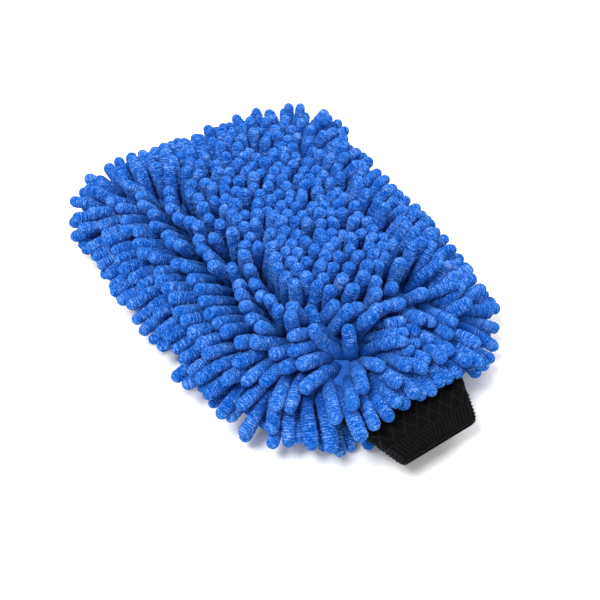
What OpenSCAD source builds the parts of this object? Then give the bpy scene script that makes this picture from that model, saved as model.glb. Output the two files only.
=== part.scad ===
// Chenille wash mitt: two sewn panels with rows of chenille noodles,
// a lined hand pocket between them and a knitted cuff at the wrist.
// Length along Y (fingers +Y, cuff -Y), width along X, height along Z.
// The mitt lies palm down on z = 0, on the tips of its lower noodles.

/* [Mitt body] */
// Width of the sewn body across the finger end
finger_w = 162; // [150:1:190]
// Width of the sewn body across the wrist end
wrist_w = 140; // [128:1:160]
// Length of the sewn body from wrist seam to finger seam
body_len = 212; // [190:1:240]
// Corner radius at the finger end
finger_r = 21; // [16:1:28]
// Corner radius at the wrist end
wrist_r = 28; // [24:1:38]
// Thickness of the sewn body, from cloth to cloth, at rest
body_thk = 15.2; // [15.2:0.2:22]

/* [Cloth] */
// Thickness of the base cloth that the noodles are sewn to
cloth_t = 1.4; // [1:0.1:1.6]
// Thickness of the pocket lining
lining_t = 0.8; // [0.5:0.1:0.9]
// Thickness of the stitch lines under each noodle row
thread_t = 0.4; // [0.2:0.1:0.4]

/* [Noodles] */
// Diameter of a chenille noodle
noodle_d = 7.6; // [6.4:0.1:8]
// Length of a chenille noodle
noodle_len = 27; // [22:1:30]
// Distance between two sewn rows
row_pitch = 9.4; // [9.2:0.1:12]
// Distance between two noodles in a row
noodle_pitch = 9.4; // [9.2:0.1:12]
// Height of the pressed noodles that the mitt lies on
pressed_h = 14.4; // [12:0.1:18]
// Rise of the upper edge noodles above level, in degrees
edge_rise = 22; // [18:1:30]
// Droop of the lower edge noodles below level, in degrees
edge_droop = 20; // [14:1:22]

/* [Cuff] */
// Flat width of the cuff where it joins the body
cuff_w_body = 86; // [78:1:90]
// Flat width of the cuff at its open end
cuff_w_end = 50; // [46:1:76]
// Length of the cuff that stands out of the body
cuff_len = 46; // [40:1:60]
// Gap between the two faces of the cuff at rest
cuff_gap = 5.5; // [5:0.1:6]
// Length of the ribbed welt at the cuff's open end
welt_len = 10; // [8:0.5:12]
// Width of one rib of the welt
rib_w = 3; // [2.5:0.1:4]

/* [Hidden] */

blue = [0.11, 0.33, 0.76];
deep = [0.05, 0.20, 0.52];
grey = [0.62, 0.66, 0.72];
black = [0.06, 0.06, 0.07];
pale = [0.80, 0.82, 0.85];

// heights, counted from the middle plane of the mitt
hb = body_thk / 2;
zc = pressed_h + hb;
cloth_in = hb - cloth_t;
stitch_hi = cloth_in - 0.05;
stitch_lo = stitch_hi - thread_t;
lining_out = stitch_lo - 0.05;
lining_in = lining_out - lining_t;
cuff_out = lining_in - 0.2;
cuff_in = cuff_gap / 2;
split = 0.2;

// reach of the fringe past the finger seam, then the seam lines
nr = noodle_d / 2;
root_out = 1.4;
reach = root_out + noodle_len * cos(edge_droop) + 0.6 * nr * sin(edge_droop);
y_f = (body_len + cuff_len - reach) / 2;
y_w = y_f - body_len;
y_end = y_w - cuff_len;
y_mid = (y_f + y_w) / 2;

// outline: four corner curves joined by tangent lines
c1 = [finger_w / 2 - finger_r, y_f - finger_r];
c2 = [wrist_w / 2 - wrist_r, y_w + wrist_r];
dv = c1 - c2;
phi = atan2(dv[1], dv[0]) - acos((wrist_r - finger_r) / norm(dv));
nv = [cos(phi), sin(phi)];
side_d = nv * c1 + finger_r;

function in_plan(x, y, e) =
  let (a = abs(x))
  a * nv[0] + y * nv[1] <= side_d - e && y <= y_f - e && y >= y_w + e
  && !(a > c1[0] && y > c1[1] && norm([a, y] - c1) > finger_r - e)
  && !(a > c2[0] && y < c2[1] && norm([a, y] - c2) > wrist_r - e);

// points of the right half of the outline, inset by e, from finger end to wrist
function half_pts(e) = concat(
  [for (i = [0 : 12]) let (a = 90 + (phi - 90) * i / 12) c1 + (finger_r - e) * [cos(a), sin(a)]],
  [for (i = [0 : 16]) let (a = phi - (phi + 90) * i / 16) c2 + (wrist_r - e) * [cos(a), sin(a)]]
);

module plan(e, z0, z1) {
  p = half_pts(e);
  n = len(p);
  translate([0, 0, z0]) linear_extrude(height = z1 - z0)
    polygon(concat(p, [for (i = [0 : n - 1]) [-p[n - 1 - i][0], p[n - 1 - i][1]]]));
}

// gap in a side wall that the cuff comes out through
module cuff_slot(z1) {
  w = cuff_w_body + 0.8;
  translate([-w / 2, y_w - 3, -1]) cube([w, 12, z1 + 1]);
}

// shallow cloth tray: one face and half of the side wall
module tray(e, wall, zi, zo) {
  difference() {
    plan(e, split, zo);
    plan(e + wall, split - 1, zi);
    cuff_slot(cuff_out + 0.05);
  }
}

module seam_band() {
  difference() {
    plan(cloth_t + 0.2, split, 2.2);
    plan(cloth_t + 2.8, split - 1, 3.2);
    cuff_slot(3.2);
  }
}

// one noodle standing along +Z, a little narrower at its tip
module noodle(len) {
  rotate_extrude($fn = 48)
    polygon([[0, 0], [0.84 * nr, 0], [nr, 2.5], [nr, len - 4], [0.6 * nr, len], [0, len]]);
}

// a noodle from p along d
module noodle_at(p, d, len) {
  translate(p)
    rotate([0, 0, atan2(d[1], d[0])])
      rotate([0, atan2(norm([d[0], d[1]]), d[2]), 0])
        noodle(len);
}

rows = floor((finger_w / 2 - 4.5) / row_pitch);
ny = ceil(body_len / noodle_pitch / 2) + 1;
function row_ys(k) = [
  for (j = [-ny : ny])
    let (x = k * row_pitch, y = y_mid + (j + (k % 2 == 0 ? 0 : 0.5)) * noodle_pitch)
      if (in_plan(x, y, 5.4) && !(y < y_w + 14 && abs(x) < cuff_w_body / 2 + 6)) y
];
function lean(x, y) =
  let (u = x / (finger_w / 2), v = (y - y_mid) / (body_len / 2))
    [0.7 * pow(u, 3), 0.6 * pow(v, 5), 1];
function vary(a, b) = 1 - 0.05 * (1 + sin(137 * a + 71 * b));

// rows of noodles, each row on the tape it is sewn with
module rows_up() {
  for (k = [-rows : rows]) {
    ys = row_ys(k);
    x = k * row_pitch;
    union() {
      translate([x - 1.5, ys[0] - 2, hb + 0.05])
        cube([3, ys[len(ys) - 1] - ys[0] + 4, 2]);
      for (y = ys) {
        d = lean(x, y);
        noodle_at([x, y, hb + 0.3 + 0.84 * nr * norm([d[0], d[1]]) / norm(d)], d, noodle_len * vary(k, y));
      }
    }
  }
}

module rows_down() {
  for (k = [-rows : rows]) {
    ys = row_ys(k);
    x = k * row_pitch;
    union() {
      translate([x - 1.5, ys[0] - 2, hb + 0.05])
        cube([3, ys[len(ys) - 1] - ys[0] + 4, 1.2]);
      for (y = ys)
        translate([x, y, hb + 0.75]) noodle(zc - hb - 0.75);
    }
  }
}

// point on the right half of the outline, s from the middle of the finger end
len_a = c1[0];
len_b = finger_r * (90 - phi) * PI / 180;
len_c = norm((c1 + finger_r * nv) - (c2 + wrist_r * nv));
len_d = wrist_r * (phi + 90) * PI / 180;
function edge_pt(s) =
  s < len_a ? [s, y_f, 90] :
  s < len_a + len_b ?
    let (a = 90 - (s - len_a) / finger_r * 180 / PI)
      [c1[0] + finger_r * cos(a), c1[1] + finger_r * sin(a), a] :
  s < len_a + len_b + len_c ?
    let (t = (s - len_a - len_b) / len_c, p = c1 + finger_r * nv, q = c2 + wrist_r * nv)
      [p[0] + t * (q[0] - p[0]), p[1] + t * (q[1] - p[1]), phi] :
    let (a = phi - (s - len_a - len_b - len_c) / wrist_r * 180 / PI)
      [c2[0] + wrist_r * cos(a), c2[1] + wrist_r * sin(a), a];
s_finger = len_a + 0.45 * len_b;
s_side = len_a + len_b + len_c;
s_corner = s_side + len_d - 15;

// noodles sewn along the edge between s0 and s1, on their tape
module edge_run(s0, s1, tilt, first) {
  n = floor((s1 - s0) / noodle_pitch);
  for (i = [0 : n - 1]) {
    p = edge_pt(s0 + (i + first) * (s1 - s0) / n);
    d = [cos(p[2]), sin(p[2])];
    noodle_at(
      [p[0] + root_out * d[0], p[1] + root_out * d[1], 4.4],
      [d[0] * cos(tilt), d[1] * cos(tilt), sin(tilt)],
      noodle_len * (s0 == 0 ? 1 : vary(i, s0)));
  }
}

module edge_tape(y0, y1) {
  intersection() {
    difference() {
      plan(-1.9, 2.4, 6.4);
      plan(-0.1, 1.4, 7.4);
    }
    translate([0, y0, 0]) cube([200, y1 - y0, 20]);
  }
}

module right_edge(tilt) {
  union() {
    edge_tape(edge_pt(s_side)[1] + 1, edge_pt(s_finger)[1] - 1);
    edge_run(s_finger, s_side, tilt, 0.5);
  }
}

module right_corner(tilt) {
  union() {
    edge_tape(edge_pt(s_corner)[1] - 1, edge_pt(s_side)[1] - 1);
    edge_run(s_side, s_corner, tilt, 0.5);
  }
}

module finger_edge(tilt) {
  union() {
    for (s = [0, 1]) mirror([s, 0, 0]) {
      edge_tape(edge_pt(s_finger)[1] + 1, y_f + 5);
      edge_run(0, s_finger, tilt, 0.5);
    }
    translate([-1, y_f + 0.1, 2.4]) cube([2, 1.8, 4]);
  }
}

// noodles at the wrist edge, lying out over the cuff
module wrist_edge(slope) {
  n = floor((cuff_w_body - 8) / noodle_pitch);
  p = (cuff_w_body - 8) / n;
  union() {
    translate([-cuff_w_body / 2 + 4, y_w + 3, hb + 0.1]) cube([cuff_w_body - 8, 2.4, 5]);
    for (i = [0 : n - 1]) {
      x = (i - (n - 1) / 2) * p;
      noodle_at([x, y_w + 3.6, hb + 4.3], [0.0022 * x, -1, slope], noodle_len * vary(i, 3));
    }
  }
}

// stitch lines under the rows, between base cloth and lining
module stitch_rows() {
  for (k = [-rows : rows]) {
    ys = [for (y = row_ys(k)) if (in_plan(abs(k) * row_pitch + 0.6, y + 4, 5) && in_plan(abs(k) * row_pitch + 0.6, y - 4, 5)) y];
    if (len(ys) > 1)
      translate([k * row_pitch - 0.5, ys[0] - 3, stitch_lo])
        cube([1, ys[len(ys) - 1] - ys[0] + 6, thread_t]);
  }
}

function cuff_hw(y) =
  y > y_w ? cuff_w_body / 2 :
  cuff_w_body / 2 + (cuff_w_end - cuff_w_body) / 2 * (y_w - y) / cuff_len;

module cuff_plan(y0, y1, e, z0, z1) {
  a = min(y1, y_w);
  translate([0, 0, z0]) linear_extrude(height = z1 - z0)
    polygon([
      [cuff_hw(y0) - e, y0], [cuff_hw(a) - e, a], [cuff_hw(y1) - e, y1],
      [-cuff_hw(y1) + e, y1], [-cuff_hw(a) + e, a], [-cuff_hw(y0) + e, y0]
    ]);
}

module cuff_half() {
  difference() {
    cuff_plan(y_end + welt_len + 0.05, y_w + 9, 0, split, cuff_out);
    cuff_plan(y_end - 1, y_w + 10, 1.8, split - 1, cuff_in);
  }
}

module welt_half() {
  n = floor((cuff_w_end - 6) / rib_w / 2);
  difference() {
    cuff_plan(y_end, y_end + welt_len, 0, split, cuff_out + 0.5);
    cuff_plan(y_end - 1, y_end + welt_len + 1, 1.8, split - 1, cuff_in);
    cuff_plan(y_end + 2, y_end + welt_len - 2, 3.4, cuff_in + 0.4, cuff_out - 0.3);
    for (i = [-n : n])
      translate([i * rib_w - 0.5, y_end - 1, cuff_out + 0.1]) cube([1, welt_len + 2, 2]);
  }
}

module elastic_half() {
  cuff_plan(y_end + 2.2, y_end + welt_len - 2.2, 3.7, cuff_in + 0.5, cuff_out - 0.4);
}

// overlocked seam between the body's edge and the cuff
module cuff_seam_half() {
  translate([-cuff_w_body / 2 + 1.2, y_w - 2.4, cuff_out]) cube([cuff_w_body - 2.4, 2.3, hb - cuff_out - 0.4]);
}

module up() { translate([0, 0, zc]) children(); }
module down() { translate([0, 0, zc]) mirror([0, 0, 1]) children(); }
module left() { mirror([1, 0, 0]) children(); }

module lower_base_cloth() { color(deep) down() tray(0, cloth_t, cloth_in, hb); }
module lower_lining() { color(grey) down() tray(cloth_t + 3, lining_t, lining_in, lining_out); }
module lower_row_stitching() { color(blue) down() stitch_rows(); }
module lower_side_seam() { color(pale) down() seam_band(); }
module lower_noodle_rows() { color(blue) down() rows_down(); }
module lower_finger_edge_noodles() { color(blue) down() finger_edge(edge_droop); }
module lower_left_edge_noodles() { color(blue) down() left() right_edge(edge_droop); }
module lower_right_edge_noodles() { color(blue) down() right_edge(edge_droop); }
module lower_left_corner_noodles() { color(blue) down() left() right_corner(edge_droop); }
module lower_right_corner_noodles() { color(blue) down() right_corner(edge_droop); }
module lower_wrist_noodles() { color(blue) down() wrist_edge(0.2); }
module lower_cuff_knit() { color(black) down() cuff_half(); }
module lower_cuff_welt() { color(black) down() welt_half(); }
module lower_cuff_elastic() { color(pale) down() elastic_half(); }
module lower_cuff_seam() { color(black) down() cuff_seam_half(); }

module upper_base_cloth() { color(deep) up() tray(0, cloth_t, cloth_in, hb); }
module upper_lining() { color(grey) up() tray(cloth_t + 3, lining_t, lining_in, lining_out); }
module upper_row_stitching() { color(blue) up() stitch_rows(); }
module upper_side_seam() { color(pale) up() seam_band(); }
module upper_noodle_rows() { color(blue) up() rows_up(); }
module upper_finger_edge_noodles() { color(blue) up() finger_edge(edge_rise); }
module upper_left_edge_noodles() { color(blue) up() left() right_edge(edge_rise); }
module upper_right_edge_noodles() { color(blue) up() right_edge(edge_rise); }
module upper_left_corner_noodles() { color(blue) up() left() right_corner(edge_rise); }
module upper_right_corner_noodles() { color(blue) up() right_corner(edge_rise); }
module upper_wrist_noodles() { color(blue) up() wrist_edge(0.16); }
module upper_cuff_knit() { color(black) up() cuff_half(); }
module upper_cuff_welt() { color(black) up() welt_half(); }
module upper_cuff_elastic() { color(pale) up() elastic_half(); }
module upper_cuff_seam() { color(black) up() cuff_seam_half(); }

lower_base_cloth();
lower_lining();
lower_row_stitching();
lower_side_seam();
lower_noodle_rows();
lower_finger_edge_noodles();
lower_left_edge_noodles();
lower_right_edge_noodles();
lower_left_corner_noodles();
lower_right_corner_noodles();
lower_wrist_noodles();
lower_cuff_knit();
lower_cuff_welt();
lower_cuff_elastic();
lower_cuff_seam();
upper_base_cloth();
upper_lining();
upper_row_stitching();
upper_side_seam();
upper_noodle_rows();
upper_finger_edge_noodles();
upper_left_edge_noodles();
upper_right_edge_noodles();
upper_left_corner_noodles();
upper_right_corner_noodles();
upper_wrist_noodles();
upper_cuff_knit();
upper_cuff_welt();
upper_cuff_elastic();
upper_cuff_seam();
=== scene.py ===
import math

import bpy
import numpy as np
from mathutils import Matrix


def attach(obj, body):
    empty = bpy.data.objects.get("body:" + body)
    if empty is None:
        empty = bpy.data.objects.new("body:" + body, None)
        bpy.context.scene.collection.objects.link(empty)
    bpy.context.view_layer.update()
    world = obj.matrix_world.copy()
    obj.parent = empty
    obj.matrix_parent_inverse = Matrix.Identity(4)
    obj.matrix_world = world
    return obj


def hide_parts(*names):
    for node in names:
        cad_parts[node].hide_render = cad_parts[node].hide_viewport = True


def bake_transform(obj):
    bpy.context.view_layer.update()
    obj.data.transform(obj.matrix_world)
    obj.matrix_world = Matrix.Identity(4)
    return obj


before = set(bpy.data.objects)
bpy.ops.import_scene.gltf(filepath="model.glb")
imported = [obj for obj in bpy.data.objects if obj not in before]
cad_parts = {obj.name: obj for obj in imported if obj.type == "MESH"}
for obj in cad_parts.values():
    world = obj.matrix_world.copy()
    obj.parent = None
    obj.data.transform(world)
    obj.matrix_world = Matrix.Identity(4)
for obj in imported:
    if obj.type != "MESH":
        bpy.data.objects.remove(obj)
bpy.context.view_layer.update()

# ---------------------------------------------------------------- sizes, in mm
YF, YW, YE = 115.2, -96.8, -142.8          # finger seam, wrist seam, cuff end
HF, HW, RF, RW, RL = 82.0, 70.0, 21.0, 28.0, 50.0    # half widths and corner radii of the sewn body
HB, ZC, EDGE = 7.6, 22.0, 30.0             # half thickness, middle height, width of the rounded edge
CUFF_W0, CUFF_W1, CUFF_H0, CUFF_H1 = 43.0, 25.0, 5.0, 2.7
STARS = np.array([[-13.0, -82.0], [47.0, -88.0]])   # puckers at the ends of the cuff seam
NOODLE_R, NOODLE_L, TIP = 3.82, 26.5, 3.2
PX, PY = 8.3, 8.1                             # pitch of the noodles on the back
LOWER, UPPER = "lower_half", "upper_half"
YM = (YF + YW) / 2


def smooth(t):
    t = np.clip(t, 0, 1)
    return t * t * (3 - 2 * t)


# ---------------------------------------------------------------- the sewn body's form
def outline(x, y):
    """signed distance to the body's outline, negative inside"""
    t = np.clip((YF - y) / (YF - YW), 0, 1)
    h = HF + (HW - HF) * t
    yh = (YF - YW) / 2
    r = np.where(y > YM, RF, np.where(x > 0, RW, RL))    # the left wrist corner lies a little folded in
    qx = np.abs(x) - (h - r); qy = np.abs(y - YM) - (yh - r)
    return np.hypot(np.maximum(qx, 0), np.maximum(qy, 0)) + np.minimum(np.maximum(qx, qy), 0) - r


def crown(x, y):
    return HB + 1.6 * np.clip(1 - (x / 80.0) ** 2, 0, 1) * np.clip(1 - ((y - 9) / 110.0) ** 2, 0, 1)


def mouth(x, y):
    return (1 - smooth((np.abs(x) - 37.0) / 6.5)) * (1 - smooth((y - YW) / 30.0))


def half_thick(x, y):
    e = np.clip(-outline(x, y) / EDGE, 0, 1)
    a = crown(x, y) * np.sqrt(np.maximum(1 - (1 - e) ** 2, 0))
    return np.sqrt(a * a + (5.3 * mouth(x, y)) ** 2 * (1 - e))


def body(p):
    x, y, z = p[..., 0], p[..., 1], p[..., 2]
    a = np.maximum(0, 1 + outline(x, y) / EDGE)
    b = (z - ZC) / crown(x, y)
    return np.sqrt(a * a + b * b) - 1


def body_distance(p):
    e = 0.4
    g = np.empty(p.shape)
    for k in range(3):
        d = np.zeros(3); d[k] = e
        g[..., k] = (body(p + d) - body(p - d)) / (2 * e)
    m = np.maximum(np.linalg.norm(g, axis=-1), 1e-6)
    return body(p) / m, g / m[..., None]


def rim_points(inset, n):
    """n points, evenly spaced, on the outline inset by that much"""
    a = np.linspace(0, 2 * np.pi, 2401)[:-1]
    lo, hi = np.zeros(len(a)), np.full(len(a), 200.0)
    for _ in range(40):
        m = (lo + hi) / 2
        inside = outline(m * np.cos(a), YM + m * np.sin(a)) < -inset
        lo = np.where(inside, m, lo); hi = np.where(inside, hi, m)
    p = np.stack([lo * np.cos(a), YM + lo * np.sin(a)], -1)
    q = np.concatenate([p, p[:1]])
    L = np.concatenate([[0], np.cumsum(np.linalg.norm(np.diff(q, axis=0), axis=1))])
    t = np.linspace(0, L[-1], n + 1)[:-1]
    return np.stack([np.interp(t, L, q[:, 0]), np.interp(t, L, q[:, 1])], -1), L[-1]


# ---------------------------------------------------------------- noodles: where they are sewn
def make_roots(rng, px, py, inset, side):
    out = []
    n = int(HF / px) + 2
    for k in range(-n, n + 1):
        ys = np.arange(YW - 5, YF + 5, py) + (k % 2) * py / 2
        x = k * px + rng.uniform(-1.2, 1.2, len(ys))
        y = ys + rng.uniform(-1.5, 1.5, len(ys))
        keep = outline(x, y) < -inset
        x, y = x[keep], y[keep]
        out.append(np.stack([x, y, ZC + side * half_thick(x, y), np.full(len(x), k)], -1))
    return np.concatenate(out)


def directions(root, side, rng, lean, star):
    """the way each noodle leaves the cloth: up in the middle, out at the edges, round the puckers"""
    x, y = root[:, 0], root[:, 1]
    e = -outline(x, y)
    h = 3.0
    gx = (outline(x + h, y) - outline(x - h, y)) / (2 * h)
    gy = (outline(x, y + h) - outline(x, y - h)) / (2 * h)
    m = np.hypot(gx, gy) + 1e-6
    gx, gy = gx / m, gy / m
    far = smooth((y - YF + 45) / 40) * smooth((x + 85) / 45)
    near = smooth((-40 - y) / 40)
    top = np.radians(np.where(side > 0, 98.0 - 26.0 * far + 8.0 * near, 95.0))
    th = top * (1 - np.clip(e / np.where(side > 0, 50.0 - 17 * smooth(x / 35) * (1 - near) - 14 * far + 14 * near, 110.0), 0, 1)) ** np.where(side > 0, 1.15 - 0.4 * near, 0.8)
    # the cloth puckers where the cuff seam ends, and the noodles fan out round each pucker
    for s, left, right in zip(STARS, (30.0, 5.0), (14.0, 22.0)):
        dx, dy = x - s[0], y - s[1]
        l = np.hypot(dx, dy) + 1e-6
        reach = left + (right - left) * smooth(dx / l * 0.5 + 0.5)
        reach = reach + (np.minimum(reach, 12.0) - reach) * smooth(-dy / l * 1.8)
        w = np.exp(-(l / reach) ** 2) * np.where(side > 0, 1.0, 0.5)
        gx = (1 - w) * gx + w * dx / l; gy = (1 - w) * gy + w * dy / l
        th = np.maximum(th * np.where(side > 0, smooth(l / 9.0), 1), np.radians(92.0) * star * np.exp(-(l / (0.6 * reach)) ** 2) * smooth(l / 15.0))
    # the noodles at the folded-in corner hang over the cuff's edge
    c = np.exp(-((x + 38) / 24) ** 2 - ((y + 93) / 16) ** 2)
    gx, gy = gx * (1 - 0.6 * c), gy - 0.5 * c
    l = np.hypot(gx, gy) + 1e-6
    gx, gy = gx / np.maximum(l, 0.6), gy / np.maximum(l, 0.6)
    n = np.stack([np.sin(th) * gx, np.sin(th) * gy, np.cos(th) * side], -1)
    W = rng.normal(0, 1, (6, 2)) * 0.09
    ph = rng.uniform(0, 6.28, (6, 2))
    am = rng.normal(0, 1, (6, 2)) * lean * 0.7
    amp = np.clip(e / 40, 0.25, 1)
    for i in range(6):
        q = x * W[i, 0] + y * W[i, 1]
        n[:, 0] += amp * am[i, 0] * np.sin(q + ph[i, 0])
        n[:, 1] += amp * am[i, 1] * np.sin(q * 1.3 + ph[i, 1])
    n += rng.normal(0, lean, n.shape) * np.clip(e / 30, 0.5, 1)[:, None]
    return n / np.linalg.norm(n, axis=1, keepdims=True)


def pairs_within(X, rad):
    """index pairs closer than rad, by a sorted grid"""
    c = np.floor((X - X.min(0)) / rad).astype(np.int64) + 1
    d = c.max(0) + 2
    key = (c[:, 0] * d[1] + c[:, 1]) * d[2] + c[:, 2]
    order = np.argsort(key, kind="stable")
    ks = key[order]
    I, J = [], []
    for a in (-1, 0, 1):
        for b in (-1, 0, 1):
            for e in (-1, 0, 1):
                off = (a * d[1] + b) * d[2] + e
                if off < 0:
                    continue
                lo = np.searchsorted(ks, key + off, "left")
                hi = np.searchsorted(ks, key + off, "right")
                n = hi - lo
                if n.sum() == 0:
                    continue
                i = np.repeat(np.arange(len(X)), n)
                st = np.repeat(lo - np.concatenate(([0], np.cumsum(n)[:-1])), n)
                j = order[st + np.arange(len(i))]
                if off == 0:
                    m = i < j
                    i, j = i[m], j[m]
                I.append(i); J.append(j)
    I = np.concatenate(I); J = np.concatenate(J)
    m = ((X[I] - X[J]) ** 2).sum(1) < rad * rad
    I, J = I[m], J[m]
    o = np.lexsort((J, I))
    return I[o], J[o]


def settle(root, n, side, lens, rng, T=200, r=3.75, N=7, g=0.10, kb=0.3, kroot=0.5, curv=0.02):
    """position-based simulation: chains of balls with bending, weight and contact"""
    M = len(root)
    seg = (lens / (N - 1))[:, None]
    cv = rng.normal(0, curv, (M, 3))
    # the wrist end slopes down to the cuff, so the noodles there hang with all their weight
    drop = g * (1 + 2.2 * smooth((-62 - root[:, 1]) / 22) * (side > 0))[:, None]
    X = root[:, None, :] + n[:, None, :] * (np.arange(N)[None, :, None] * seg[:, None, :]) * 0.5
    Xp = X.copy()
    ids = np.repeat(np.arange(M), N); lev = np.tile(np.arange(N), M)
    rad = np.full(N, r); rad[0] = r * 0.55; rad[1] = r * 0.85; rad[-1] = r * 0.92
    e0 = np.clip(-outline(root[:, 0], root[:, 1]) / 25.0, 0, 1)
    thin = np.where(side < 0, 1 - 0.30 * e0, 1.0)
    RR = rad[None, :] * thin[:, None]
    R = RR.reshape(-1)
    for it in range(T):
        late = it > T * 0.75
        V = (X - Xp) * (0.6 if late else 0.85)
        vm = np.linalg.norm(V, axis=-1, keepdims=True)
        V *= np.minimum(1, (0.5 if late else 1.5) / np.maximum(vm, 1e-9))
        Xp = X.copy(); X = X + V
        X[..., 2] -= drop
        X[:, 0] = root
        if it % 3 == 0:
            I, J = pairs_within(X.reshape(-1, 3), 2 * r + 1.6)
            m = (ids[I] != ids[J]) & ~((lev[I] == 0) & (lev[J] == 0))
            I, J = I[m], J[m]
        for _ in range(2):
            for i in range(1, N - 1):
                tgt = X[:, i] + (X[:, i] - X[:, i - 1]) + cv * seg
                X[:, i + 1] += kb * (tgt - X[:, i + 1])
            X[:, 1] += kroot * (root + n * seg - X[:, 1])
            F = X.reshape(-1, 3)
            d = F[I] - F[J]
            dist = np.sqrt((d * d).sum(1)) + 1e-9
            pen = np.maximum(R[I] + R[J] - dist, 0)
            mv = ((0.5 if late else 0.8) * 0.5 * pen / dist)[:, None] * d
            wI = (lev[I] > 0) * 1.0; wJ = (lev[J] > 0) * 1.0
            acc = np.zeros_like(F)
            for k in range(3):
                acc[:, k] = np.bincount(I, mv[:, k] * wI, len(F)) - np.bincount(J, mv[:, k] * wJ, len(F))
            al = np.linalg.norm(acc, axis=1, keepdims=True)
            acc *= np.minimum(1, 1.2 / np.maximum(al, 1e-9))
            X = (F + acc).reshape(M, N, 3)
            for i in range(N - 1):
                d = X[:, i + 1] - X[:, i]
                l = np.linalg.norm(d, axis=1, keepdims=True) + 1e-9
                c = d * (1 - seg / l)
                if i == 0:
                    X[:, 1] -= c
                else:
                    X[:, i + 1] -= c * 0.65; X[:, i] += c * 0.35
            B = X[:, 2:]
            sd, gg = body_distance(B)
            lim = 0.9 * RR[:, 2:]; bad = sd < lim
            B[bad] += gg[bad] * np.minimum(lim[bad] - sd[bad], 1.5)[:, None]
            B = X[:, 1:]
            t = np.clip((YW + 6.8 - B[..., 1]) / (YW + 6.8 - YE), 0, 1)
            w = CUFF_W0 + (CUFF_W1 - CUFF_W0) * t
            ins = (np.abs(B[..., 0]) < w + r * 0.6) & (B[..., 1] > YE - r) & (B[..., 1] < YW + 6.8)
            zz = (B[..., 2] - ZC) * side[:, None]
            low = CUFF_H0 - 0.4 + r * 0.95
            B[..., 2] = np.where(ins & (zz < low), ZC + side[:, None] * np.minimum(low, zz + 1.2), B[..., 2])
            X[..., 2] = np.maximum(X[..., 2], RR)
            X[:, 0] = root
    return X, thin


# ---------------------------------------------------------------- mesh helpers
def build(name, v, quads=None, tris=None, attrs=None, mat=None):
    """a smooth mesh from points in mm"""
    me = bpy.data.meshes.new(name)
    v = np.asarray(v, float).reshape(-1, 3)
    quads = np.zeros((0, 4), np.int32) if quads is None else np.asarray(quads, np.int32).reshape(-1, 4)
    tris = np.zeros((0, 3), np.int32) if tris is None else np.asarray(tris, np.int32).reshape(-1, 3)
    me.vertices.add(len(v))
    me.vertices.foreach_set("co", (v / 1000.0).astype(np.float32).ravel())
    loops = np.concatenate([quads.ravel(), tris.ravel()]).astype(np.int32)
    me.loops.add(len(loops))
    me.loops.foreach_set("vertex_index", loops)
    starts = np.concatenate([np.arange(len(quads)) * 4, len(quads) * 4 + np.arange(len(tris)) * 3]).astype(np.int32)
    me.polygons.add(len(starts))
    me.polygons.foreach_set("loop_start", starts)
    me.polygons.foreach_set("use_smooth", np.ones(len(starts), bool))
    me.update(calc_edges=True)
    me.validate()
    for k, a in (attrs or {}).items():
        a = np.asarray(a, np.float32)
        if a.ndim == 2:
            at = me.attributes.new(k, "FLOAT_VECTOR", "POINT"); at.data.foreach_set("vector", a.ravel())
        else:
            at = me.attributes.new(k, "FLOAT", "POINT"); at.data.foreach_set("value", a.ravel())
    o = bpy.data.objects.new(name, me)
    bpy.context.scene.collection.objects.link(o)
    if mat is not None:
        me.materials.append(mat)
    return o


def cloth_weight(z):
    """share of the upper half's motion that cloth at height z takes"""
    return smooth((np.asarray(z, float) - ZC + 5.0) / 10.0)


def carry(o, w):
    """the piece follows the lower half when all its w are 0 and the upper half when all are 1; otherwise it is baked
    in place and follows neither
    """
    w = np.asarray(w, np.float32).ravel()
    if w.min() > 0.999:
        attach(o, UPPER)
    elif w.max() < 0.001:
        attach(o, LOWER)
    else:
        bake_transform(o)


def grid_quads(nu, nv, wrap_u=False, wrap_v=False, base=0, flip=False):
    """quads of a grid of points indexed u * nv + v"""
    iu = np.arange(nu if wrap_u else nu - 1); iv = np.arange(nv if wrap_v else nv - 1)
    U, V = np.meshgrid(iu, iv, indexing="ij")
    U2, V2 = (U + 1) % nu, (V + 1) % nv
    q = np.stack([U * nv + V, U2 * nv + V, U2 * nv + V2, U * nv + V2], -1).reshape(-1, 4) + base
    return q[:, ::-1] if flip else q


# ---------------------------------------------------------------- materials
def material(name):
    m = bpy.data.materials.new(name); m.use_nodes = True
    nt = m.node_tree
    b = nt.nodes["Principled BSDF"]
    return m, nt, b


def node(nt, kind, **kw):
    n = nt.nodes.new(kind)
    for k, v in kw.items():
        if k.startswith("in_"):
            n.inputs[k[3:].replace("_", " ")].default_value = v
        else:
            setattr(n, k, v)
    return n


def attr(nt, name):
    return node(nt, "ShaderNodeAttribute", attribute_type="GEOMETRY", attribute_name=name)


def math_node(nt, op, a, b=None, clamp=False):
    n = nt.nodes.new("ShaderNodeMath"); n.operation = op; n.use_clamp = clamp
    for i, x in enumerate((a, b)):
        if x is None:
            continue
        if isinstance(x, (int, float)):
            n.inputs[i].default_value = x
        else:
            nt.links.new(x, n.inputs[i])
    return n.outputs[0]


def ramp(nt, fac, stops):
    n = nt.nodes.new("ShaderNodeValToRGB")
    cr = n.color_ramp
    while len(cr.elements) < len(stops):
        cr.elements.new(0.5)
    for el, (p, c) in zip(cr.elements, stops):
        el.position = p; el.color = (*c, 1)
    nt.links.new(fac, n.inputs["Fac"])
    return n.outputs["Color"]


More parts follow.
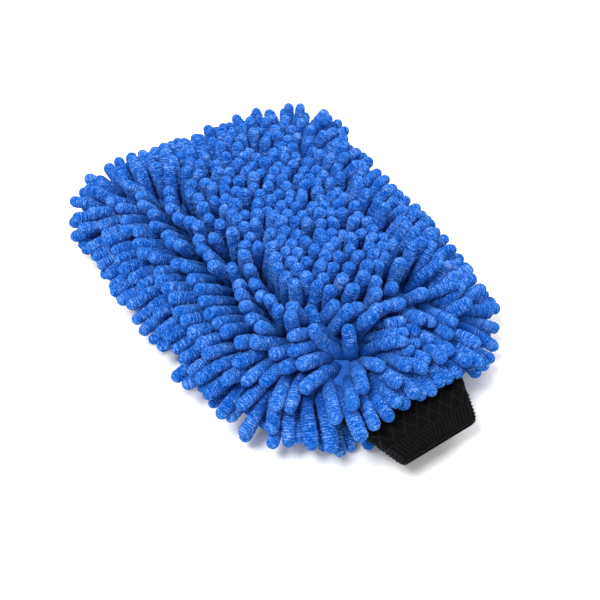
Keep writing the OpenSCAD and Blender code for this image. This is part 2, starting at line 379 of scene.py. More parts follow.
def mix(nt, fac, a, b, blend="MIX"):
    n = nt.nodes.new("ShaderNodeMix"); n.data_type = "RGBA"; n.blend_type = blend
    for sock, x in ((n.inputs[0], fac), (n.inputs[6], a), (n.inputs[7], b)):
        if isinstance(x, (int, float)):
            sock.default_value = x
        elif isinstance(x, tuple):
            sock.default_value = (*x, 1)
        else:
            nt.links.new(x, sock)
    return n.outputs[2]


def noise(nt, vec, scale, detail=2.0, rough=0.5):
    n = node(nt, "ShaderNodeTexNoise")
    n.inputs["Scale"].default_value = scale; n.inputs["Detail"].default_value = detail
    n.inputs["Roughness"].default_value = rough
    nt.links.new(vec, n.inputs["Vector"])
    return n.outputs["Fac"]


def bump(nt, b, height, strength, distance):
    n = nt.nodes.new("ShaderNodeBump")
    n.inputs["Strength"].default_value = strength; n.inputs["Distance"].default_value = distance
    nt.links.new(height, n.inputs["Height"]); nt.links.new(n.outputs["Normal"], b.inputs["Normal"])


def mat_chenille():
    m, nt, b = material("blue_chenille")
    ridge, tone, along, rest = attr(nt, "ridge"), attr(nt, "tone"), attr(nt, "along"), attr(nt, "rest")
    fine = noise(nt, rest.outputs["Vector"], 1.5, 1.0, 0.5)
    broad = noise(nt, rest.outputs["Vector"], 0.25, 1.0, 0.5)
    # painted highlight on the tops of the tufts and painted shade in the grooves between them, each tuft also of its
    # own random brightness
    f = math_node(nt, "MULTIPLY", ridge.outputs["Fac"], 0.62)
    f = math_node(nt, "ADD", f, math_node(nt, "MULTIPLY", math_node(nt, "SUBTRACT", fine, 0.5), 1.25))
    f = math_node(nt, "ADD", f, math_node(nt, "MULTIPLY", math_node(nt, "SUBTRACT", broad, 0.5), 0.5))
    f = math_node(nt, "ADD", f, math_node(nt, "MULTIPLY", math_node(nt, "SUBTRACT", tone.outputs["Fac"], 0.5), 0.10))
    # a faint painted highlight towards the tip of each noodle
    f = math_node(nt, "ADD", f, math_node(nt, "MULTIPLY", math_node(nt, "MULTIPLY", along.outputs["Fac"], along.outputs["Fac"]), 0.03))
    f = math_node(nt, "ADD", f, 0.145, clamp=True)
    col = ramp(nt, f, [(0.05, (0.0001, 0.040, 0.27)), (0.38, (0.0015, 0.098, 0.52)), (0.66, (0.052, 0.212, 0.73)), (1.0, (0.31, 0.52, 0.89))])
    # painted shade: the colour darkens towards each noodle's root
    root = math_node(nt, "MULTIPLY", along.outputs["Fac"], 1.6, clamp=True)
    col = mix(nt, root, (0.001, 0.035, 0.25), col)
    nt.links.new(col, b.inputs["Base Color"])
    b.inputs["Roughness"].default_value = 0.95
    b.inputs["Specular IOR Level"].default_value = 0.03
    b.inputs["Sheen Weight"].default_value = 0.25
    b.inputs["Sheen Roughness"].default_value = 0.5
    b.inputs["Sheen Tint"].default_value = (0.16, 0.50, 1.0, 1)
    h = noise(nt, rest.outputs["Vector"], 1.9, 3.0, 0.7)
    bump(nt, b, h, 0.9, 0.0009)
    return m


def mat_cloth(name, dark, light, scale, rough=0.85, sheen=0.3, tint=(1, 1, 1), spec=0.25):
    m, nt, b = material(name)
    rest = attr(nt, "rest")
    sep = node(nt, "ShaderNodeSeparateXYZ"); nt.links.new(rest.outputs["Vector"], sep.inputs[0])
    # knitted loops: wales along Y, courses along X
    wx = math_node(nt, "SINE", math_node(nt, "MULTIPLY", sep.outputs["X"], scale))
    wy = math_node(nt, "SINE", math_node(nt, "ADD", math_node(nt, "MULTIPLY", sep.outputs["Y"], scale * 1.3), math_node(nt, "MULTIPLY", wx, 0.9)))
    loops = math_node(nt, "MULTIPLY", math_node(nt, "ADD", math_node(nt, "ADD", wx, wy), 2.0), 0.25)
    n = noise(nt, rest.outputs["Vector"], 0.35, 3.0, 0.6)
    f = math_node(nt, "ADD", math_node(nt, "MULTIPLY", loops, 0.6), math_node(nt, "MULTIPLY", n, 0.5), clamp=True)
    nt.links.new(ramp(nt, f, [(0.1, dark), (0.9, light)]), b.inputs["Base Color"])
    b.inputs["Roughness"].default_value = rough
    b.inputs["Specular IOR Level"].default_value = spec
    b.inputs["Sheen Weight"].default_value = sheen
    b.inputs["Sheen Roughness"].default_value = 0.5
    b.inputs["Sheen Tint"].default_value = (*tint, 1)
    bump(nt, b, loops, 0.5, 0.0003)
    return m


def mat_knit():
    m, nt, b = material("black_knit")
    ridge, rest = attr(nt, "ridge"), attr(nt, "rest")
    sep = node(nt, "ShaderNodeSeparateXYZ"); nt.links.new(rest.outputs["Vector"], sep.inputs[0])
    wx = math_node(nt, "ABSOLUTE", math_node(nt, "SINE", math_node(nt, "MULTIPLY", sep.outputs["X"], 2 * math.pi / 1.9)))
    wy = math_node(nt, "SINE", math_node(nt, "ADD", math_node(nt, "MULTIPLY", sep.outputs["Y"], 2 * math.pi / 0.8), math_node(nt, "MULTIPLY", wx, 1.6)))
    loops = math_node(nt, "ADD", math_node(nt, "MULTIPLY", wx, 0.6), math_node(nt, "MULTIPLY", wy, 0.25))
    n = noise(nt, rest.outputs["Vector"], 1.1, 3.0, 0.6)
    # the raised knit relief is painted lighter and its hollows darker: painted highlight and painted shade
    f = math_node(nt, "MULTIPLY", ridge.outputs["Fac"], 0.62)
    f = math_node(nt, "ADD", f, math_node(nt, "MULTIPLY", loops, 0.20))
    f = math_node(nt, "ADD", f, math_node(nt, "MULTIPLY", math_node(nt, "SUBTRACT", n, 0.5), 0.55), clamp=True)
    nt.links.new(ramp(nt, f, [(0.12, (0.0002, 0.0002, 0.0003)), (0.50, (0.0014, 0.0015, 0.0019)), (1.0, (0.026, 0.028, 0.031))]), b.inputs["Base Color"])
    b.inputs["Roughness"].default_value = 0.75
    b.inputs["Specular IOR Level"].default_value = 0.09
    bump(nt, b, loops, 0.6, 0.0003)
    return m


def mat_thread(name, dark, light):
    m, nt, b = material(name)
    rest = attr(nt, "rest")
    sep = node(nt, "ShaderNodeSeparateXYZ"); nt.links.new(rest.outputs["Vector"], sep.inputs[0])
    tw = math_node(nt, "SINE", math_node(nt, "ADD", math_node(nt, "MULTIPLY", sep.outputs["Y"], 9.0), math_node(nt, "MULTIPLY", sep.outputs["X"], 6.2832)))
    f = math_node(nt, "ADD", math_node(nt, "MULTIPLY", tw, 0.3), math_node(nt, "MULTIPLY", noise(nt, rest.outputs["Vector"], 2.0), 0.8), clamp=True)
    nt.links.new(ramp(nt, f, [(0.1, dark), (0.9, light)]), b.inputs["Base Color"])
    b.inputs["Roughness"].default_value = 0.7
    bump(nt, b, tw, 0.4, 0.0001)
    return m


BLUE = mat_chenille()
CLOTH = mat_cloth("blue_base_cloth", (0.005, 0.065, 0.34), (0.018, 0.14, 0.58), 9.0, tint=(0.4, 0.6, 1.0))
LINING = mat_cloth("pocket_lining", (0.13, 0.17, 0.25), (0.34, 0.40, 0.50), 6.0)
KNIT = mat_knit()
THREAD = mat_thread("blue_thread", (0.006, 0.06, 0.33), (0.03, 0.18, 0.66))
BLACK_THREAD = mat_thread("black_thread", (0.004, 0.004, 0.005), (0.02, 0.02, 0.024))
ALLOWANCE = mat_thread("seam_allowance", (0.03, 0.12, 0.42), (0.25, 0.38, 0.62))
ELASTIC = mat_cloth("elastic_band", (0.45, 0.44, 0.40), (0.80, 0.79, 0.74), 5.0, sheen=0.0)

# ---------------------------------------------------------------- noodle meshes
SIDES, BODY_RINGS, CAP_RINGS, RIDGE, TUFTS = 22, 70, 8, 1.45, 11


def spline(X, t):
    """points at parameter t (0..N-1) on smooth curves through X (M, N, 3)"""
    M, N, _ = X.shape
    P = np.concatenate([2 * X[:, :1] - X[:, 1:2], X, 2 * X[:, -1:] - X[:, -2:-1]], 1)
    i = np.minimum(t.astype(int), N - 2); f = (t - i)[..., None]
    m = np.arange(M)[:, None]
    p0, p1, p2, p3 = P[m, i], P[m, i + 1], P[m, i + 2], P[m, i + 3]
    return 0.5 * (2 * p1 + (p2 - p0) * f + (2 * p0 - 5 * p1 + 4 * p2 - p3) * f ** 2 + (3 * p1 - p0 - 3 * p2 + p3) * f ** 3)


def noodle_tubes(X, lens, thin, rng):
    """vertices (M, rings * SIDES + 2, 3) and attributes of M noodles"""
    M, N, _ = X.shape
    cap = 4.2
    s = np.empty((M, BODY_RINGS + CAP_RINGS))
    for k in range(BODY_RINGS):
        s[:, k] = -1.0 + (lens + TIP - cap + 1.0) * k / (BODY_RINGS - 1)
    u = np.sin(np.pi / 2 * (np.arange(1, CAP_RINGS + 1) / (CAP_RINGS + 0.35)))
    s[:, BODY_RINGS:] = (lens + TIP - cap)[:, None] + cap * u[None]
    seg = lens[:, None] / (N - 1)
    t = np.clip(s / seg, 0, N - 1.0001)
    C = spline(X, t)
    T0 = spline(X, np.full((M, 1), 0.001))[:, 0]; T1 = spline(X, np.full((M, 1), 0.05))[:, 0]
    d0 = (T1 - T0) / np.linalg.norm(T1 - T0, axis=1, keepdims=True)
    E0 = spline(X, np.full((M, 1), N - 1.15))[:, 0]; E1 = spline(X, np.full((M, 1), N - 1.0001))[:, 0]
    d1 = (E1 - E0) / np.linalg.norm(E1 - E0, axis=1, keepdims=True)
    C += d0[:, None] * np.minimum(s, 0)[..., None] + d1[:, None] * np.maximum(s - lens[:, None], 0)[..., None]
    lens = lens + TIP
    K = s.shape[1]
    T = np.gradient(C, axis=1); T /= np.linalg.norm(T, axis=-1, keepdims=True) + 1e-9
    a = rng.normal(0, 1, (M, 3))
    F = np.empty_like(T)
    for k in range(K):
        a = a - (a * T[:, k]).sum(-1, keepdims=True) * T[:, k]
        a /= np.linalg.norm(a, axis=-1, keepdims=True)
        F[:, k] = a
    G = np.cross(T, F)
    th = 2 * np.pi * np.arange(SIDES) / SIDES
    prof = 0.70 + 0.30 * smooth((s + 1) / 5.0) - 0.02 * smooth((s - (lens[:, None] - 12)) / 12)
    uu = np.clip((s - (lens[:, None] - cap)) / cap, 0, 1)
    dome = np.sqrt(np.maximum(1 - uu ** 2.1, 0))
    R = (NOODLE_R * thin * rng.uniform(0.94, 1.04, M))[:, None] * prof * dome
    # short tufts of pile: bumps in staggered rings, each of its own height and a little out of place
    nr = int(40 / RIDGE) + 2
    ph = rng.uniform(0, 1, M)
    twist = rng.uniform(-0.35, 0.35, M)
    mi = np.arange(M)[:, None, None]
    q = s[:, :, None] / RIDGE + ph[:, None, None] + 4 + 0.10 * np.sin(th[None, None] * 2 + 6.28 * ph[:, None, None])
    wob = rng.normal(0, 0.16, (M, nr, TUFTS)); amp = rng.uniform(0.15, 1.45, (M, nr, TUFTS))
    c = th[None, None] / (2 * np.pi) * TUFTS + twist[:, None, None] * q
    c0 = np.floor(c).astype(int); fc = smooth(c - c0)
    ir = np.clip(np.floor(q).astype(int), 0, nr - 1)
    def around(a):
        return a[mi, ir, c0 % TUFTS] * (1 - fc) + a[mi, ir, (c0 + 1) % TUFTS] * fc
    rg = np.abs(np.sin(np.pi * (q + around(wob)))) ** 0.7
    rg = rg * (0.62 + 0.38 * np.abs(np.sin(np.pi * (c + 0.5 * ir))))
    A = around(amp)
    blob = rng.normal(0, 1, (M, K, SIDES))
    disp = 0.50 * (rg * A - 0.45) + 0.05 * blob
    disp *= (0.15 + 0.85 * dome)[..., None]
    el = 1 + 0.05 * np.cos(2 * th + 6.28 * rng.uniform(0, 1, (M, 1)))
    rr = R[..., None] * el[:, None, :] + disp
    rr = np.maximum(rr, 0.15)
    V = C[:, :, None] + rr[..., None] * (np.cos(th)[None, None, :, None] * F[:, :, None] + np.sin(th)[None, None, :, None] * G[:, :, None])
    tip = C[:, -1] + T[:, -1] * 0.25
    base = C[:, 0]
    verts = np.concatenate([V.reshape(M, -1, 3), tip[:, None], base[:, None]], 1)
    # ridge: the tuft relief, each tuft of its own random height; the chenille colour uses it as painted highlight on
    # the tufts' tops and painted shade in the grooves
    rc = np.clip(rg * (0.45 + 0.55 * A), 0, 1)
    rc = rc + (0.6 - rc) * np.clip(1.15 - 1.3 * dome, 0, 1)[..., None]
    ridge = np.concatenate([rc.reshape(M, -1), np.full((M, 1), 0.6), np.zeros((M, 1))], 1)
    # along: share of the length from the root; the chenille colour uses it for painted shade near the root and a
    # faint painted highlight at the tip
    along = np.concatenate([np.repeat((np.maximum(s, 0) / lens[:, None])[..., None], SIDES, 2).reshape(M, -1), np.ones((M, 1)), np.zeros((M, 1))], 1)
    tone = np.repeat(rng.uniform(0, 1, (M, 1)), verts.shape[1], 1)
    off = rng.uniform(0, 400, (M, 1, 1, 3))
    loc = np.stack([np.broadcast_to(rr * np.cos(th), rr.shape), np.broadcast_to(rr * np.sin(th), rr.shape), np.broadcast_to(s[..., None], rr.shape)], -1) + off
    rest = np.concatenate([loc.reshape(M, -1, 3), (off[:, 0, 0] + np.stack([0 * lens, 0 * lens, lens], -1))[:, None], off[:, 0]], 1)
    return verts, dict(ridge=ridge, along=along, tone=tone, rest=rest)


K_ALL = BODY_RINGS + CAP_RINGS
_q = grid_quads(K_ALL, SIDES, wrap_v=True, flip=True)
_i = np.arange(SIDES)
_t = np.concatenate([
    np.stack([(K_ALL - 1) * SIDES + _i, (K_ALL - 1) * SIDES + (_i + 1) % SIDES, np.full(SIDES, K_ALL * SIDES)], -1),
    np.stack([(_i + 1) % SIDES, _i, np.full(SIDES, K_ALL * SIDES + 1)], -1)])
NV = K_ALL * SIDES + 2


def make_noodles():
    rng = np.random.default_rng(5)
    up = make_roots(rng, PX, PY, 1.2, 1); lo = make_roots(rng, 10.3, 9.7, 1.5, -1)
    # sewn half as densely where they lie flat, between the puckers and the wrist seam
    k = up[:, 3].astype(int)
    j = np.round((up[:, 1] - (YW - 5) - (k % 2) * PY / 2) / PY).astype(int)
    near = np.min([np.hypot(up[:, 0] - sx, up[:, 1] - sy) for sx, sy in STARS], axis=0)
    wrist = (up[:, 1] < YW + 30) & (up[:, 1] > YW + 4) & (near > 17)
    up = up[~(wrist & ((j + k) % 2 == 1))]
    # a closer-set fringe along the wrist seam and round the corners, and stubs standing in the puckers
    def fringe(sd, pitch, inset):
        rim, length = rim_points(inset, 1200)
        p = rim[:: int(round(1200 * pitch / length))]
        p = p[(p[:, 1] < YW + 30) | ((p[:, 1] > YF - 32) & (np.abs(p[:, 0]) > HF - 30))]
        return np.concatenate([p, ZC + sd * (half_thick(p[:, :1], p[:, 1:]) + 0.4), np.round(p[:, :1] / pitch)], 1)
    stubs = np.array([[-14.5, -80.5], [-11.5, -85.0], [45.5, -87.0]])
    stubs = np.concatenate([stubs, ZC + half_thick(stubs[:, :1], stubs[:, 1:]), np.round(stubs[:, :1] / PX)], 1)
    up = np.concatenate([up, fringe(1, 9.0, 2.4), stubs]); lo = np.concatenate([lo, fringe(-1, 11.0, 4.6)])
    root = np.concatenate([up[:, :3], lo[:, :3]]); row = np.concatenate([up[:, 3], lo[:, 3]]).astype(int)
    side = np.concatenate([np.ones(len(up)), -np.ones(len(lo))])
    n = directions(root, side, rng, 0.042, 1.0)
    k = len(up)
    n[k - 3:k] = [[-0.05, 0.40, 0.91], [0.28, -0.86, 0.42], [0.75, 0.25, 0.61]]
    lens = NOODLE_L * rng.uniform(0.92, 1.05, len(root))
    lens[k - 3:k] *= 0.78
    lens *= 1 + 0.16 * np.exp(-((root[:, 0] + 36) / 20) ** 2 - ((root[:, 1] + 94) / 10) ** 2)
    X, thin = settle(root, n, side, lens, rng)
    V, at = noodle_tubes(X, lens, thin, np.random.default_rng(11))
    V[..., 2] = np.maximum(V[..., 2], 0.15)
    e = -outline(root[:, 0], root[:, 1])
    w = cloth_weight(root[:, 2])
    # each noodle belongs to a row, or to the stretch of edge that it is sewn along
    group = np.empty(len(root), object)
    for i in range(len(root)):
        x, y = root[i, :2]
        half = "upper" if side[i] > 0 else "lower"
        if e[i] < 7.5:
            if y > YF - 15 and abs(x) < HF - 12: g = "finger_edge"
            elif abs(x) < CUFF_W0 and y < YM: g = "wrist"
            elif y < YW + 26: g = "left_corner" if x < 0 else "right_corner"
            else: g = "left_edge" if x < 0 else "right_edge"
        else:
            g = "row_%02d" % (row[i] + 10)
        group[i] = half + "_" + g
    out = []
    for gname in sorted(set(group)):
        idx = np.where(group == gname)[0]
        k = len(idx)
        base = (np.arange(k) * NV)[:, None, None]
        q = (_q[None] + base).reshape(-1, 4); t = (_t[None] + base).reshape(-1, 3)
        attrs = {a: b[idx].reshape(-1, 3) if a == "rest" else b[idx].reshape(-1) for a, b in at.items()}
        o = build("noodles_" + gname, V[idx].reshape(-1, 3), q, t, attrs, BLUE)
        carry(o, np.repeat(w[idx], NV))
        half = gname.split("_")[0]
        node_name = gname + "_noodles" if "row" not in gname else half + "_noodle_rows"
        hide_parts(node_name)
        out.append(o)
    return out


noodles = make_noodles()

# ---------------------------------------------------------------- base cloth and lining
def panel(name, side, inset, drop, thick, mat, nodes_, ripple):
    """a domed panel of cloth, closed at its edge, open where the cuff comes out"""
    n, m = 288, 34
    rim, _ = rim_points(inset, n)
    c = np.array([0, YM])
    f = np.sin(np.pi / 2 * (np.arange(1, m + 1) / m))
    xy = c + f[None, :, None] * (rim - c)[:, None]          # (n, m, 2)
    x, y = xy[..., 0], xy[..., 1]
    h = np.maximum(half_thick(x * (1 + inset / 90 * 0), y) - drop, 0)
    e = np.clip((-outline(x, y) - inset) / 8.0, 0, 1)
    h = h * np.where(mouth(x, y) > 0.02, 1, np.sqrt(e) ** 0.5 * (drop > 0) + (drop == 0))
    h = h + ripple * np.sin(2 * np.pi * x / 9.0) * np.clip((-outline(x, y)) / 20, 0, 1)
    top = np.stack([x, y, ZC + side * h], -1)
    mid = np.array([[0, YM, ZC + side * (crown(0, YM) - drop)]])
    du = np.roll(top, -1, 0) - np.roll(top, 1, 0)
    dv = np.gradient(top, axis=1)
    nn = np.cross(du, dv); nn /= np.linalg.norm(nn, axis=-1, keepdims=True) + 1e-9
    if (nn[:, 2, 2] * side).mean() < 0: nn = -nn
    inner = top - nn * thick
    v = np.concatenate([top.reshape(-1, 3), inner.reshape(-1, 3), mid, mid - [[0, 0, side * thick]]])
    a = n * m
    q = [grid_quads(n, m, wrap_u=True, flip=side > 0), grid_quads(n, m, wrap_u=True, base=a, flip=side < 0)]
    i = np.arange(n); j = (i + 1) % n
    edge = np.stack([i * m + m - 1, j * m + m - 1, a + j * m + m - 1, a + i * m + m - 1], -1)
    q.append(edge[:, ::-1] if side < 0 else edge)
    t1 = np.stack([i * m, j * m, np.full(n, 2 * a)], -1); t2 = np.stack([a + j * m, a + i * m, np.full(n, 2 * a + 1)], -1)
    if side < 0: t1, t2 = t1[:, ::-1], t2[:, ::-1]
    w = cloth_weight(v[:, 2])
    o = build(name, v, np.concatenate(q), np.concatenate([t1, t2]), dict(rest=v), mat)
    carry(o, w)
    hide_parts(*nodes_)
    g = np.abs(np.cross(np.roll(top, -1, 0) - top, np.gradient(top, axis=1))[..., 2])
    return o


panel("base_cloth_back", 1, 0.0, 0.0, 1.2, CLOTH, ["upper_base_cloth"], 0.25)
panel("base_cloth_palm", -1, 0.0, 0.0, 1.2, CLOTH, ["lower_base_cloth"], 0.25)
panel("lining_back", 1, 5.5, 2.0, 0.7, LINING, ["upper_lining"], 0.0)
panel("lining_palm", -1, 5.5, 2.0, 0.7, LINING, ["lower_lining"], 0.0)


# ---------------------------------------------------------------- tubes: threads, seams, elastic
def sweep(path, up, a, b, sides, closed):
    """elliptical tube along path: half width a along up x tangent, half height b along up"""
    T = (np.roll(path, -1, 0) - np.roll(path, 1, 0)) if closed else np.gradient(path, axis=0)
    T /= np.linalg.norm(T, axis=1, keepdims=True) + 1e-9
    U = up - (up * T).sum(1, keepdims=True) * T
    U /= np.linalg.norm(U, axis=1, keepdims=True) + 1e-9
    S = np.cross(T, U)
    th = 2 * np.pi * np.arange(sides) / sides
    v = path[:, None] + a * np.cos(th)[None, :, None] * S[:, None] + b * np.sin(th)[None, :, None] * U[:, None]
    n = len(path)
    q = grid_quads(n, sides, wrap_u=closed, wrap_v=True)
    tris = None
    vv = v.reshape(-1, 3)
    s = np.concatenate([[0], np.cumsum(np.linalg.norm(np.diff(path, axis=0), axis=1))])
    rest = np.stack([np.broadcast_to(th / 6.2832, (n, sides)), np.broadcast_to(s[:, None], (n, sides)), np.zeros((n, sides))], -1).reshape(-1, 3)
    if not closed:
        vv = np.concatenate([vv, path[:1], path[-1:]])
        rest = np.concatenate([rest, rest[:1], rest[-1:]])
        i = np.arange(sides); j = (i + 1) % sides
        tris = np.concatenate([np.stack([i, j, np.full(sides, n * sides)], -1), np.stack([(n - 1) * sides + j, (n - 1) * sides + i, np.full(sides, n * sides + 1)], -1)])
    return vv, q, tris, rest


def join(parts):
    V, Q, Tt, R = [], [], [], []
    base = 0
    for v, q, t, r in parts:
        V.append(v); Q.append(q + base); R.append(r)
        if t is not None: Tt.append(t + base)
        base += len(v)
    return np.concatenate(V), np.concatenate(Q), (np.concatenate(Tt) if Tt else None), np.concatenate(R)


def row_stitches(name, side, px, nodes_):
    parts = []
    n = int(HF / px) + 1
    for k in range(-n, n + 1):
        y = np.arange(YW, YF, 0.9)
        y = y[-outline(np.full(len(y), k * px), y) > 4.0]
        if len(y) < 12: continue
        j = np.arange(len(y))
        x = k * px + 0.55 * np.sin(j * np.pi / 2)
        z = ZC + side * (half_thick(x, y) + 0.25 + 0.22 * np.cos(j * np.pi / 2 * 2))
        parts.append(sweep(np.stack([x, y, z], -1), np.tile([[0, 0, 1.0]], (len(y), 1)), 0.38, 0.38, 7, False))
    v, q, t, r = join(parts)
    o = build(name, v, q, t, dict(rest=r), THREAD)
    carry(o, cloth_weight(v[:, 2]))
    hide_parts(*nodes_)


row_stitches("row_stitches_back", 1, PX, ["upper_row_stitching"])
row_stitches("row_stitches_palm", -1, 10.3, ["lower_row_stitching"])


def side_seam(name, side, node_name):
    rim, length = rim_points(3.6, 1500)
    keep = ~((np.abs(rim[:, 0]) < 41) & (rim[:, 1] < YM))
    i0 = np.where(keep & ~np.roll(keep, 1))[0][0]
    p = np.roll(rim, -i0, 0)[: keep.sum()]
    s = np.arange(len(p)) * length / 1500
    path = np.concatenate([p, np.full((len(p), 1), ZC + side * 0.62)], 1)
    v, q, t, r = sweep(path, np.tile([[0, 0, 1.0]], (len(p), 1)), 1.5, 0.5, 10, False)
    # overlock loops bulge the edge
    n = len(p) * 10
    d = 1 + 0.16 * np.sin(2 * np.pi * s / 2.2)
    vv = v[:n].reshape(len(p), 10, 3)
    vv[:] = path[:, None] + (vv - path[:, None]) * d[:, None, None]
    o = build(name, v, q, t, dict(rest=r), ALLOWANCE)
    carry(o, np.full(len(v), 0.5))
    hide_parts(node_name)


side_seam("seam_allowance_back", 1, "upper_side_seam")
side_seam("seam_allowance_palm", -1, "lower_side_seam")


# ---------------------------------------------------------------- knitted cuff
def stadium(u, W, H):
    """point and outward normal on a flat loop, u 0..1 round it from the +X crease over the top"""
    P = 4 * (W - H) + 2 * np.pi * H
    a = u * P
    q, f = np.pi * H / 2, 2 * (W - H)
    x = np.zeros_like(a); z = np.zeros_like(a); nx = np.zeros_like(a); nz = np.zeros_like(a)
    m = a < q
    t = a / H
    x = np.where(m, W - H + H * np.cos(t), x); z = np.where(m, H * np.sin(t), z); nx = np.where(m, np.cos(t), nx); nz = np.where(m, np.sin(t), nz)
    m = (a >= q) & (a < q + f)
    x = np.where(m, W - H - (a - q), x); z = np.where(m, H, z); nz = np.where(m, 1, nz)
    m = (a >= q + f) & (a < 3 * q + f)
    t = np.pi / 2 + (a - q - f) / H
    x = np.where(m, -(W - H) + H * np.cos(t), x); z = np.where(m, H * np.sin(t), z); nx = np.where(m, np.cos(t), nx); nz = np.where(m, np.sin(t), nz)
    m = (a >= 3 * q + f) & (a < 3 * q + 2 * f)
    x = np.where(m, -(W - H) + (a - 3 * q - f), x); z = np.where(m, -H, z); nz = np.where(m, -1, nz)
    m = a >= 3 * q + 2 * f
    t = 1.5 * np.pi + (a - 3 * q - 2 * f) / H
    x = np.where(m, W - H + H * np.cos(t), x); z = np.where(m, H * np.sin(t), z); nx = np.where(m, np.cos(t), nx); nz = np.where(m, np.sin(t), nz)
    return x, z, nx, nz, P


def cuff_frame(y):
    t = np.clip((YW - y) / (YW - YE), 0, 1)
    W = CUFF_W0 + (CUFF_W1 - CUFF_W0) * t
    H = CUFF_H0 + (CUFF_H1 - CUFF_H0) * t
    zc = ZC - 5.0 * t * t
    xc = 0.0 * t
    return W, H, zc, xc


def cuff_shell(name, y0, y1, nu, nv, thick, relief, mat, nodes_, lip):
    u = np.arange(nu) / nu
    y = np.linspace(y0, y1, nv)
    U, Y = np.meshgrid(u, y, indexing="ij")
    W, H, zc, xc = cuff_frame(Y)
    x, z, nx, nz, P = stadium(U, W, H)
    d = relief(U, Y, P, W)
    out = np.stack([xc + x + nx * d, Y, zc + z + nz * d], -1)
    xi, zi, _, _, _ = stadium(U, W - thick, H - thick)
    inn = np.stack([xc + xi, Y, zc + zi], -1)
    rings = [out[:, j] for j in range(nv)]
    if lip:
        for k in range(1, 6):
            a = np.pi * k / 6
            c = (out[:, -1] + inn[:, -1]) / 2; h = (out[:, -1] - inn[:, -1]) / 2
            rings.append(c + h * np.cos(a) + np.array([0, -0.55 * np.sin(a), 0]))
    rings += [inn[:, j] for j in range(nv - 1, -1, -1)]
    G = np.stack(rings, 1)
    m = G.shape[1]
    v = G.reshape(-1, 3)
    q = grid_quads(nu, m, wrap_u=True, wrap_v=True, flip=True)
    per = (U * P)[:, 0]
    rest = np.stack([np.repeat(per[:, None], m, 1), G[..., 1], G[..., 2] * 0], -1).reshape(-1, 3)
    # ridge: the relief height scaled 0..1, with fixed values for the lip and the inside; the knit colour uses it as
    # painted highlight on the raised lines and painted shade in the hollows
    lo_, hi_ = np.percentile(d, 3), np.percentile(d, 97)
    rd = np.clip((d - lo_) / (hi_ - lo_), 0, 1)
    ridge = np.concatenate([rd, np.repeat(rd[:, -1:], m - 2 * nv, 1) * 0.6, np.full((nu, nv), 0.3)], 1).reshape(-1)
    o = build(name, v, q, None, dict(rest=rest, ridge=ridge), mat)
    Wv, Hv, zv, _ = cuff_frame(v[:, 1])
    carry(o, smooth(((v[:, 2] - zv) / Hv * 5 + 5) / 10))
    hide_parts(*nodes_)
    return o


def knit_relief(U, Y, P, W):
    """cable lines in diamonds over fine lengthwise wales; pointed loops along the side creases"""
    col = ((U * 2) % 1.0) * 8.0; rowp = (Y - YE) / 11.0
    def line(q):
        f = np.abs(q - np.round(q))
        return np.exp(-(f / 0.09) ** 2)
    lat = np.maximum(line(col + rowp), line(col - rowp))
    wales = 0.18 * np.cos(2 * np.pi * U * 80)
    courses = 0.05 * np.sin(2 * np.pi * Y / 1.3)
    crease = np.exp(-(np.minimum(np.minimum(U, 1 - U), np.abs(U - 0.5)) * P / 2.2) ** 2)
    saw = 1 - 2 * np.abs(((Y / 1.7) % 1.0) - 0.5)
    return 0.05 + (wales + courses) * (1 - 0.6 * lat) + 0.50 * lat + crease * (1.5 * saw - 0.1)


def welt_relief(U, Y, P, W):
    n = 2 * np.round(P / 2.4 / 2)
    ribs = np.abs(np.cos(np.pi * U * n)) ** 0.7
    t = (Y - YE) / 10.0
    top = np.exp(-((Y - (YE + 9.6)) / 0.45) ** 2)
    end = smooth((Y - YE) / 2.0)
    crease = np.exp(-(np.minimum(np.minimum(U, 1 - U), np.abs(U - 0.5)) * P / 2.2) ** 2)
    saw = 1 - 2 * np.abs(((Y / 1.9) % 1.0) - 0.5)
    return 0.30 + (0.75 * ribs - 0.35) * end * (1 - top) * (1 - crease) + 0.30 * top + crease * (1.3 * saw) * end


cuff_shell("cuff_knit", YW + 9, YE + 10.05, 480, 100, 1.7, knit_relief, KNIT, ["lower_cuff_knit", "upper_cuff_knit"], False)
cuff_shell("cuff_welt", YE + 10, YE, 480, 30, 1.9, welt_relief, KNIT, ["lower_cuff_welt", "upper_cuff_welt"], True)


def loop_band(name, y, inset, a, b, mat, nodes_):
    u = np.arange(420) / 420
    W, H, zc, xc = cuff_frame(np.full(420, y))
    x, z, nx, nz, P = stadium(u, W - inset, H - inset)
    path = np.stack([xc + x, np.full(420, y), zc + z], -1)
    v, q, t, r = sweep(path, np.tile([[0, 1.0, 0]], (420, 1)), a, b, 10, True)
    o = build(name, v, q, t, dict(rest=r), mat)
    carry(o, smooth(((v[:, 2] - zc[0]) / H[0] * 5 + 5) / 10))
    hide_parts(*nodes_)


loop_band("welt_elastic", YE + 5.0, 1.05, 0.24, 3.0, ELASTIC, ["lower_cuff_elastic", "upper_cuff_elastic"])


def cuff_overlock():
    """thread looped over the seam that joins cuff and body"""
    turns, per = 84, 12
    n = turns * per
    u = np.arange(n) / n
    W, H, zc, xc = cuff_frame(np.full(n, YW + 1.0))
    x, z, nx, nz, P = stadium(u, W + 0.3, H + 0.5)
    ph = 2 * np.pi * u * turns
    path = np.stack([xc + x, np.full(n, YW + 0.5), zc + z], -1)
    nrm = np.stack([nx, 0 * nx, nz], -1)
    path = path + nrm * (0.9 * np.cos(ph))[:, None] + np.array([[0, 1.0, 0]]) * (1.5 * np.sin(ph))[:, None]
    v, q, t, r = sweep(path, nrm + 1e-3, 0.36, 0.36, 7, True)
    o = build("cuff_seam_thread", v, q, t, dict(rest=r), BLACK_THREAD)
    carry(o, smooth(((v[:, 2] - ZC) / CUFF_H0 * 5 + 5) / 10))
    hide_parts("lower_cuff_seam", "upper_cuff_seam")


cuff_overlock()

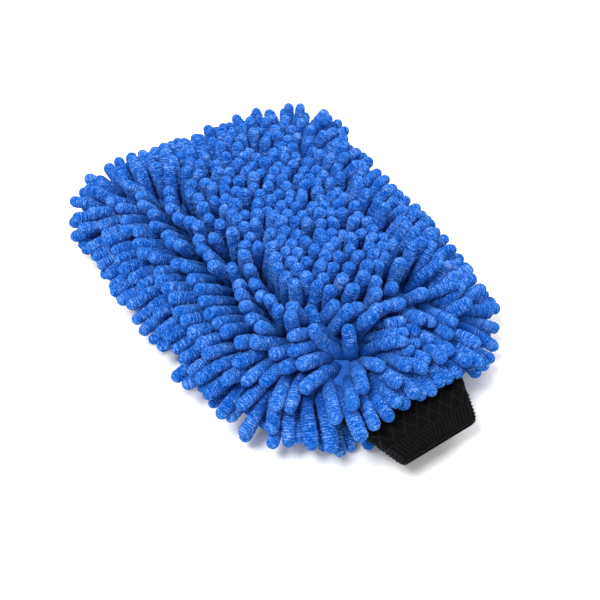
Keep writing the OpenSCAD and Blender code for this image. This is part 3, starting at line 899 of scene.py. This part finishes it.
# ---------------------------------------------------------------- floor, light, camera
def plane_floor():
    n = 2
    s = 3000.0
    o = build("floor", [[-s, -s, 0], [s, -s, 0], [s, s, 0], [-s, s, 0]], [[0, 1, 2, 3]])
    m, nt, b = material("pale_floor")
    b.inputs["Base Color"].default_value = (0.93, 0.93, 0.935, 1)
    b.inputs["Roughness"].default_value = 0.9
    b.inputs["Specular IOR Level"].default_value = 0.1
    o.data.materials.append(m)


plane_floor()

world = bpy.data.worlds.new("studio"); bpy.context.scene.world = world
world.use_nodes = True
world.node_tree.nodes["Background"].inputs["Color"].default_value = (1, 1, 1, 1)
world.node_tree.nodes["Background"].inputs["Strength"].default_value = 0.52


def area_light(name, loc, target, size, power):
    l = bpy.data.lights.new(name, "AREA"); l.shape = "DISK"; l.size = size; l.energy = power
    o = bpy.data.objects.new(name, l); bpy.context.scene.collection.objects.link(o)
    from mathutils import Vector
    o.location = loc
    o.rotation_euler = (Vector(target) - Vector(loc)).to_track_quat("-Z", "Y").to_euler()


area_light("key", (-0.55, 0.0, 1.05), (0, 0, 0.02), 0.45, 12.5)
area_light("right", (0.70, 0.25, 0.75), (0, 0, 0.02), 0.6, 5.5)
area_light("fill", (-0.2, -1.0, 0.75), (0, 0, 0.02), 0.9, 3.0)

CAM = dict(az=-36.544, el=47.91, dist=444.925, tx=-12.449, ty=-26.169, tz=25.0, f=742.165, roll=4.137)


def camera():
    from mathutils import Matrix
    a, e, r = (math.radians(CAM[k]) for k in ("az", "el", "roll"))
    back = np.array([math.sin(a) * math.cos(e), -math.cos(a) * math.cos(e), math.sin(e)])
    right = np.array([math.cos(a), math.sin(a), 0.0]); up = np.cross(right, -back)
    R2 = math.cos(r) * right + math.sin(r) * up; U2 = -math.sin(r) * right + math.cos(r) * up
    c = (np.array([CAM["tx"], CAM["ty"], CAM["tz"]]) + back * CAM["dist"]) / 1000
    cam = bpy.data.cameras.new("camera"); cam.sensor_width = 36; cam.lens = CAM["f"] / 600 * 36
    cam.clip_start = 0.01; cam.clip_end = 20
    o = bpy.data.objects.new("camera", cam); bpy.context.scene.collection.objects.link(o)
    m = Matrix([[R2[0], U2[0], back[0], c[0]], [R2[1], U2[1], back[1], c[1]], [R2[2], U2[2], back[2], c[2]], [0, 0, 0, 1]])
    o.matrix_world = m
    bpy.context.scene.camera = o


camera()
bpy.context.scene.view_settings.view_transform = "Standard"
